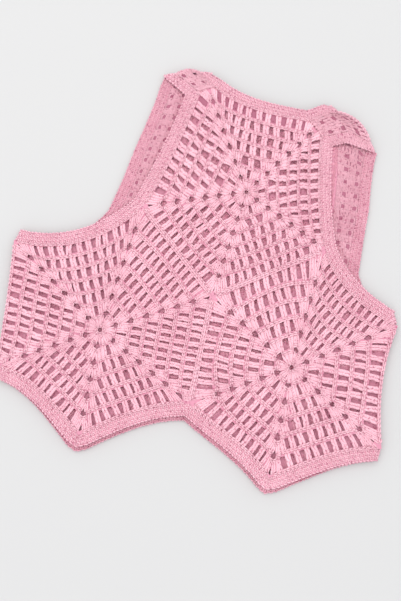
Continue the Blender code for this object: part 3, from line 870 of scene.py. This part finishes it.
def add_motif(name, layer, outline, colours, rng):
    """The web and the stitches of one motif."""
    centre, sides = layer.motifs[name]
    surface = MotifSurface(layer.corners, centre, sides, layer.level)
    *stitches, gaps = motif_pattern(surface, rng)
    fans, singles, chains = (kept_inside(placed, surface, outline) for placed in stitches)
    closed = np.vstack((outline, outline[:2]))
    rim = offset(closed, -GAP_RIM)[1:-1]
    holes = []
    for spots in gaps if layer.detail else ():
        a, b = np.array(spots).T
        hole = surface.at(a, b, 0)[:, :2]
        if inside(hole, rim).all():
            holes.append(hole)
    shape = filled_outline(name, offset(closed, -WEB_ROOM)[1:-1], holes, layer.web_half)
    for hole in holes:
        if hole[:, 1].mean() > NO_BACK_ABOVE:
            painted_shade_under_gap(shape, hole)
    web = add_web(name, shape, lambda points: points + (0, 0, layer.level + layer.web_lift), colours)
    # the second material is the painted shade of the cloth under the gaps by the neck
    web.data.materials.append(colours["deep"])
    worked = ((post_stitch(layer.detail, crossed=False), fans),
              (post_stitch(layer.detail, crossed=True), singles),
              (chain_stitch(layer.detail), chains))
    parts = [joined_stitches(stitch, placed, surface, rng, layer.depth_tone) for stitch, placed in worked]
    yarn = add_yarn(name, parts, colours)
    cloth_area(web) * CLOTH_SHARE


def strap_pattern(strap, rng):
    """Posts and chains of a strap: a group of three between two columns of small gaps."""
    rows = round(strap.length / STRAP_ROW)
    high = strap.length / rows
    posts, chains = [], []
    for row in range(rows):
        low, top = row * high, (row + 1) * high
        width = float(strap.width_at((low + top) / 2))
        foot_width, head_width = (post / width for post in STRAP_WIDTHS)
        for share in STRAP_OPEN_ROW if row % 2 else STRAP_CLOSE_ROW:
            posts.append(Placed(share, share + rng.normal(0, STRAP_UNEVEN), foot_width, head_width,
                                low + STRAP_REACH[0], top + STRAP_REACH[1], 0.0,
                                rng.normal(0, POST_SHADE)))
        count = max(4, round(width / CHAIN))
        chain_width = STRAP_CHAIN_WIDTH / count
        foot, head = (top + reach for reach in STRAP_CHAIN_REACH)
        for face in (1, -1):
            for j in range(count):
                a = (j + 0.5) / count
                chains.append(Placed(a, a, chain_width, chain_width, foot, head,
                                     STRAP_CHAIN_RISE * face, rng.normal(0, CHAIN_SHADE)))
    return posts, chains


def add_strap(name, strap, colours, rng):
    """The web and the stitches of one strap."""
    posts, chains = strap_pattern(strap, rng)
    along = [strap.length * i / STRAP_STEPS for i in range(STRAP_STEPS + 1)]
    left = [(STRAP_MARGIN * STRAP_FLAT, y) for y in along]
    right = [((1 - STRAP_MARGIN) * STRAP_FLAT, y) for y in reversed(along)]
    shape = filled_outline(name, left + right, (), WEB_WALL / 2)
    for i in range(1, STRAP_CUTS):
        everything = shape.verts[:] + shape.edges[:] + shape.faces[:]
        bmesh.ops.bisect_plane(shape, geom=everything, plane_co=(0, strap.length * i / STRAP_CUTS, 0),
                               plane_no=(0, 1, 0))
    bmesh.ops.triangulate(shape, faces=shape.faces)
    web = add_web(name, shape, lambda p: strap.at(p[:, 0] / STRAP_FLAT, p[:, 1], p[:, 2]), colours)
    parts = [joined_stitches(post_stitch(True, both_faces=True), posts, strap, rng),
             joined_stitches(chain_stitch(True), chains, strap, rng)]
    yarn = add_yarn(name, parts, colours)


def add_border(name, ring, width, colours, rng):
    """The web and the close stitches of one border."""
    shape = bmesh.new()
    bmesh.ops.create_grid(shape, x_segments=int(ring.length / BORDER_STEP), y_segments=BORDER_ROWS, size=0.5)

    def place(points):
        across = (points[:, 1] + 0.5) * (1 - 2 * BORDER_MARGIN) + BORDER_MARGIN
        return ring.at((points[:, 0] + 0.5) * ring.length, across, 0)

    web = add_web(name, shape, place, colours)
    joined = bmesh.new()
    joined.from_mesh(web.data)
    bmesh.ops.remove_doubles(joined, verts=joined.verts, dist=SAME_POINT * MM)
    bmesh.ops.recalc_face_normals(joined, faces=joined.faces)
    joined.to_mesh(web.data)
    joined.free()
    wall = web.modifiers.new("Wall", "SOLIDIFY")
    wall.thickness = WEB_WALL * MM
    wall.offset = 0
    placed = []
    count = round(ring.length / BORDER_STITCH)
    step = ring.length / count
    for row in range(BORDER_ROWS):
        for j in range(count):
            a = (j + 0.5 * (row % 2)) * ring.length / count
            placed.append(Placed(a, a, step, step, row / BORDER_ROWS, (row + 1) / BORDER_ROWS, 0.0,
                                 rng.normal(0, CHAIN_SHADE)))
    yarn = add_yarn(name, [joined_stitches(close_stitch(), placed, ring, rng)], colours)


# Yarn materials

def yarn_material(name, colour, look):
    """Soft wool: plies wound round each strand, loose fibres, and stitches that differ a little, with shade
    painted between the plies, in dark dents and in the stitches' hollows.
    """
    material = bpy.data.materials.new(name)
    material.use_nodes = True
    nodes, links = material.node_tree.nodes, material.node_tree.links
    shader = nodes["Principled BSDF"]
    shader.inputs["Roughness"].default_value = look.roughness
    shader.inputs["Sheen Weight"].default_value = look.sheen
    shader.inputs["Sheen Roughness"].default_value = 0.45
    shader.inputs["Sheen Tint"].default_value = (1.0, 0.75, 0.82, 1)
    shader.inputs["Specular IOR Level"].default_value = 0.25

    def math(operation, *values):
        node = nodes.new("ShaderNodeMath")
        node.operation = operation
        for socket, value in zip(node.inputs, values):
            if isinstance(value, (int, float)):
                socket.default_value = value
            else:
                links.new(value, socket)
        return node.outputs[0]

    def attribute(name):
        node = nodes.new("ShaderNodeAttribute")
        node.attribute_name = name
        return node.outputs

    def noise(scale, detail):
        node = nodes.new("ShaderNodeTexNoise")
        node.inputs["Scale"].default_value = scale
        node.inputs["Detail"].default_value = detail
        links.new(place.outputs["Object"], node.inputs["Vector"])
        return node.outputs["Fac"]

    ply = nodes.new("ShaderNodeSeparateXYZ")
    links.new(attribute("ply")["Vector"], ply.inputs[0])
    angle = math("ARCTAN2", ply.outputs[1], ply.outputs[0])
    groove = math("SINE", math("ADD", math("MULTIPLY", angle, PLIES),
                               math("MULTIPLY", ply.outputs[2], TWIST)))
    place = nodes.new("ShaderNodeTexCoord")
    fibres = noise(*FIBRES)
    patches = noise(*PATCHES)
    between = nodes.new("ShaderNodeTexVoronoi")
    between.inputs["Scale"].default_value = DENTS
    links.new(place.outputs["Object"], between.inputs["Vector"])
    # dark dents between the plies: painted shade in the colour, relief in the bump
    dent = nodes.new("ShaderNodeMapRange")
    dent.interpolation_type = "SMOOTHSTEP"
    for socket, value in DENT_PAINTED_SHADE.items():
        dent.inputs[socket].default_value = value
    links.new(between.outputs["Distance"], dent.inputs["Value"])

    shade = math("MULTIPLY", attribute("tone")["Fac"], TONE_SHADE)
    for part in (math("MULTIPLY", math("SUBTRACT", patches, 0.5), PATCH_SHADE),
                 # painted shade between the plies
                 math("MULTIPLY", groove, PAINTED_GROOVE_SHADE),
                 math("MULTIPLY", math("SUBTRACT", fibres, 0.5), FIBRE_SHADE),
                 dent.outputs["Result"]):
        shade = math("ADD", shade, part)
    ramp = nodes.new("ShaderNodeValToRGB")
    links.new(math("ADD", shade, 0.5), ramp.inputs["Fac"])
    steps = ramp.color_ramp.elements
    steps.remove(steps[1])
    for position, shares in SHADES:
        step = steps.new(position) if position else steps[0]
        step.color = (*(min(1.0, c * share) for c, share in zip(colour, shares)), 1)
    links.new(ramp.outputs["Color"], shader.inputs["Base Color"])

    bump = nodes.new("ShaderNodeBump")
    bump.inputs["Strength"].default_value = 0.7
    bump.inputs["Distance"].default_value = 0.0004
    height = math("ADD", math("MULTIPLY", groove, GROOVE_DEPTH), fibres)
    height = math("ADD", height, math("MULTIPLY", dent.outputs["Result"], DENT_DEPTH))
    links.new(height, bump.inputs["Height"])
    links.new(bump.outputs["Normal"], shader.inputs["Normal"])
    return material


def yarn_colour(name, description, default):
    """A colour that the user can change."""
    return FloatVectorProperty(name=name, description=description, subtype="COLOR", size=3, default=default)


class VestLook(bpy.types.PropertyGroup):
    """Colours and finish of the vest's yarn"""

    front: yarn_colour("Front yarn", "Colour of the front's yarn", (0.92, 0.54, 0.615))
    # painted shade: the back's yarn is the front's pink darkened, as the inside seen through the gaps lies in
    # shade
    back: yarn_colour("Back yarn", "Colour of the back's yarn inside the vest", (0.84, 0.40, 0.49))
    # painted shade: the web's colour is the pink darkened as the recesses between the stitches
    web: yarn_colour("Web", "Colour deep between the stitches", (0.75, 0.34, 0.44))
    # painted shade: a deep colour for the closed gaps of the straps, standing in for shaded recesses
    strap_web: yarn_colour("Strap web", "Colour in the gaps of the straps", (0.46, 0.17, 0.24))
    roughness: FloatProperty(name="Roughness", description="Roughness of the yarn",
                             subtype="FACTOR", min=0, max=1, default=0.88)
    sheen: FloatProperty(name="Sheen", description="Strength of the wool's soft sheen",
                         subtype="FACTOR", min=0, max=1, default=0.12)
    seed: IntProperty(name="Seed", description="Start of the random unevenness of the stitches", default=7)


class VestStage(bpy.types.PropertyGroup):
    """Camera, floor and lights"""

    tilt: FloatProperty(name="Tilt", description="Lean of the camera from straight above",
                        subtype="ANGLE", default=np.radians(10))
    turn: FloatProperty(name="Turn", description="Turn of the camera about the vertical",
                        subtype="ANGLE", default=np.radians(13))
    distance: FloatProperty(name="Distance", description="Camera to the middle of its view",
                            subtype="DISTANCE", unit="LENGTH", default=0.9708)
    lens: FloatProperty(name="Lens", description="Focal length in millimetres", default=50.02)
    key: FloatProperty(name="Key light", description="Power of the large soft light in watts", default=8)
    sky: FloatProperty(name="Sky", description="Strength of the even light from all round", default=1.36)


def kept_material(name, colour, look):
    """The yarn material of a name, made the first time that it is needed."""
    return bpy.data.materials.get(name) or yarn_material(name, tuple(colour), look)


def look_colours(look, part):
    """The materials and the slot of one group of pieces."""
    return {
        "yarn": kept_material(part + "_wool", look.back if part == "back" else look.front, look),
        "web": kept_material(part + "_web", look.strap_web if part == "strap" else look.web, look),
        # painted shade for the cloth under the gaps by the neck
        "deep": kept_material("gap_painted_shade_web", look.strap_web, look),
        "slot": part + "_yarn",
    }


# Outlines

def front_side(side):
    """Points along a side of a front motif."""
    return side_points(FRONT_CORNERS, side)


def back_side(side):
    """Points along a side of a back motif."""
    return side_points(BACK_CORNERS, side)


def front_outline(sides):
    """Closed outline of a front motif."""
    points = chained(*map(front_side, sides))
    return points[:-1] if np.hypot(*(points[0] - points[-1])) < SEAM else points


def back_outline(name):
    """Closed outline of a back motif, without what the straps cover."""
    middle, sides = BACK_CORNERS["middle"], BACK_MOTIFS[name][1]
    if name == "back_top_motif":
        return chained([middle], neck_side(RIGHT_STRAP_BACK[:NECK_CORNER_ROW + 1]), back_side(BACK_NECK_SIDE),
                       neck_side(LEFT_STRAP_BACK[NECK_CORNER_ROW::-1]))
    if name == "back_left_motif":
        return chained([middle, BACK_CORNERS["strap_left_neck"]], back_side(BACK_ARM_LEFT),
                       *map(back_side, sides[2:]))[:-1]
    return chained(*map(back_side, sides[:4]), back_side(BACK_ARM_RIGHT), [BACK_CORNERS["strap_right_neck"]])


def neck_side(rows):
    """The side of a strap next to the neck, as a run of points."""
    return [row.neck for row in rows]


def arm_side(rows):
    """The side of a strap next to the arm, as a run of points."""
    return [row.arm for row in rows]


def strap_fronts():
    """The rows in which the straps end on the front's top motif."""
    neck_line, right_edge, left_edge = (front_side(TOP_SIDES[i]) for i in (2, 1, 3))
    left = (Row(neck_line[-1], left_edge[0], 0),)
    right = (RIGHT_STRAP_FRONT, Row(neck_line[0], right_edge[-1], 0))
    return left, right


def border_paths():
    """Name, width, first and last fold, and line along the front and along the back of each border."""
    left_front, right_front = strap_fronts()
    back_left, back_right = BACK_MOTIFS["back_left_motif"][1], BACK_MOTIFS["back_right_motif"][1]
    first, last = FOLDS["neck_right"], FOLDS["neck_left"]
    yield ("neck_border", NECK_BORDER, first, last,
           ([first.cloth], neck_side(right_front), front_side(TOP_SIDES[2]), neck_side(left_front),
            [last.cloth]),
           ([first.cloth], neck_side(RIGHT_STRAP_BACK[:NECK_CORNER_ROW - 1:-1]), back_side(BACK_NECK_SIDE),
            neck_side(LEFT_STRAP_BACK[NECK_CORNER_ROW:]), [last.cloth]))
    first, last = FOLDS["arm_left"], FOLDS["side_left"]
    yield ("armhole_border_left", BORDER, first, last,
           ([first.cloth], arm_side(left_front), front_side(TOP_SIDES[3]), front_side(LEFT_SIDES[1])),
           ([first.cloth], arm_side(LEFT_STRAP_BACK[::-1]), back_side(BACK_ARM_LEFT)))
    first, last = FOLDS["side_right"], FOLDS["arm_right"]
    yield ("armhole_border_right", BORDER, first, last,
           (front_side(RIGHT_SIDES[4]), front_side(TOP_SIDES[1]), arm_side(right_front[::-1]), [last.cloth]),
           (back_side(BACK_ARM_RIGHT), arm_side(RIGHT_STRAP_BACK), [last.cloth]))
    yield ("hem_border", BORDER, FOLDS["hem_left"], FOLDS["hem_right"],
           [front_side(side) for side in LEFT_SIDES[3:5] + RIGHT_SIDES[1:3]],
           [back_side(side) for side in back_left[3:5] + back_right[1:3]])


class VEST_OT_front(bpy.types.Operator):
    """Work the three motifs of the front"""

    bl_idname = "vest.front"
    bl_label = "Front motifs"

    def execute(self, context):
        look = context.scene.vest_look
        rng = np.random.default_rng(look.seed)
        for name, (_, sides) in FRONT_MOTIFS.items():
            add_motif(name, FRONT, front_outline(sides), look_colours(look, "front"),
                      rng)
        return {"FINISHED"}


class VEST_OT_back(bpy.types.Operator):
    """Work the three motifs of the back, whose inside shows through the gaps and armholes"""

    bl_idname = "vest.back"
    bl_label = "Back motifs"

    def execute(self, context):
        look = context.scene.vest_look
        rng = np.random.default_rng(look.seed + 1)
        for name in BACK_MOTIFS:
            add_motif(name, BACK, back_outline(name), look_colours(look, "back"), rng)
        return {"FINISHED"}


class VEST_OT_straps(bpy.types.Operator):
    """Work the two straps over the shoulders"""

    bl_idname = "vest.straps"
    bl_label = "Straps"

    def execute(self, context):
        look = context.scene.vest_look
        rng = np.random.default_rng(look.seed + 2)
        colours = look_colours(look, "strap")
        left_front, right_front = strap_fronts()
        left = strap_surface(LEFT_STRAP_BACK, LEFT_FOLD_ROW, FOLDS["neck_left"].way, left_front, -1)
        right = strap_surface(RIGHT_STRAP_BACK, RIGHT_FOLD_ROW, FOLDS["neck_right"].way, right_front, 1)
        add_strap("strap_left", left, colours, rng)
        add_strap("strap_right", right, colours, rng)
        return {"FINISHED"}


class VEST_OT_borders(bpy.types.Operator):
    """Work the close rows round the neck, the armholes and the hem"""

    bl_idname = "vest.borders"
    bl_label = "Borders"

    def execute(self, context):
        look = context.scene.vest_look
        rng = np.random.default_rng(look.seed + 3)
        colours = look_colours(look, "border")
        for name, width, first, last, fronts, backs in border_paths():
            ring = border_surface(chained(*fronts), chained(*backs), first, last, width)
            add_border(name, ring, width, colours, rng)
        return {"FINISHED"}


class VEST_OT_stage(bpy.types.Operator):
    """Set up the floor, the soft light and the camera"""

    bl_idname = "vest.stage"
    bl_label = "Stage"

    def execute(self, context):
        stage = context.scene.vest_stage
        shape = bmesh.new()
        bmesh.ops.create_grid(shape, x_segments=1, y_segments=1, size=FLOOR_HALF)
        mesh = bpy.data.meshes.new("floor")
        shape.to_mesh(mesh)
        shape.free()
        floor = bpy.data.objects.new("floor", mesh)
        paint = bpy.data.materials.new("pale_floor")
        paint.use_nodes = True
        shader = paint.node_tree.nodes["Principled BSDF"]
        shader.inputs["Base Color"].default_value = FLOOR_COLOUR
        shader.inputs["Roughness"].default_value = 0.8
        mesh.materials.append(paint)
        context.scene.collection.objects.link(floor)

        world = bpy.data.worlds.new("studio")
        world.use_nodes = True
        sky = world.node_tree.nodes["Background"]
        sky.inputs["Color"].default_value = SKY_COLOUR
        sky.inputs["Strength"].default_value = stage.sky
        context.scene.world = world
        context.scene.view_settings.view_transform = "Standard"
        key = bpy.data.lights.new("key", "AREA")
        key.shape = "DISK"
        key.size = KEY_WIDTH
        key.energy = stage.key
        key.color = KEY_COLOUR
        lamp = bpy.data.objects.new("key", key)
        lamp.location = KEY_PLACE
        lamp.rotation_euler = (-KEY_PLACE).to_track_quat("-Z", "Y").to_euler()
        context.scene.collection.objects.link(lamp)

        camera = bpy.data.objects.new("camera", bpy.data.cameras.new("camera"))
        camera.data.sensor_fit = "VERTICAL"
        camera.data.sensor_height = SENSOR
        camera.data.lens = stage.lens
        turned = Matrix.Rotation(stage.turn, 4, "Z") @ Matrix.Rotation(stage.tilt, 4, "X")
        away = Matrix.Translation((0, 0, stage.distance))
        camera.matrix_world = Matrix.Translation(AIM) @ turned @ away
        context.scene.collection.objects.link(camera)
        context.scene.camera = camera
        return {"FINISHED"}


class VEST_PT_panel(bpy.types.Panel):
    """Pieces of the vest"""

    bl_idname = "VEST_PT_panel"
    bl_label = "Vest"
    bl_space_type = "VIEW_3D"
    bl_region_type = "UI"
    bl_category = "Vest"

    def draw(self, context):
        for group in (context.scene.vest_look, context.scene.vest_stage):
            for name in type(group).__annotations__:
                self.layout.prop(group, name)
        for operator in OPERATORS:
            self.layout.operator(operator.bl_idname)


OPERATORS = (VEST_OT_back, VEST_OT_straps, VEST_OT_front, VEST_OT_borders, VEST_OT_stage)
CLASSES = (VestLook, VestStage, *OPERATORS, VEST_PT_panel)


def register():
    """Add the classes and their settings."""
    for cls in CLASSES:
        bpy.utils.register_class(cls)
    bpy.types.Scene.vest_look = PointerProperty(type=VestLook)
    bpy.types.Scene.vest_stage = PointerProperty(type=VestStage)


def unregister():
    """Remove the classes and their settings."""
    del bpy.types.Scene.vest_stage
    del bpy.types.Scene.vest_look
    for cls in reversed(CLASSES):
        bpy.utils.unregister_class(cls)


def main():
    """Work every piece in order."""
    register()
    bpy.ops.vest.back()
    bpy.ops.vest.straps()
    bpy.ops.vest.front()
    bpy.ops.vest.borders()
    bpy.ops.vest.stage()


if __name__ == "__main__":
    main()
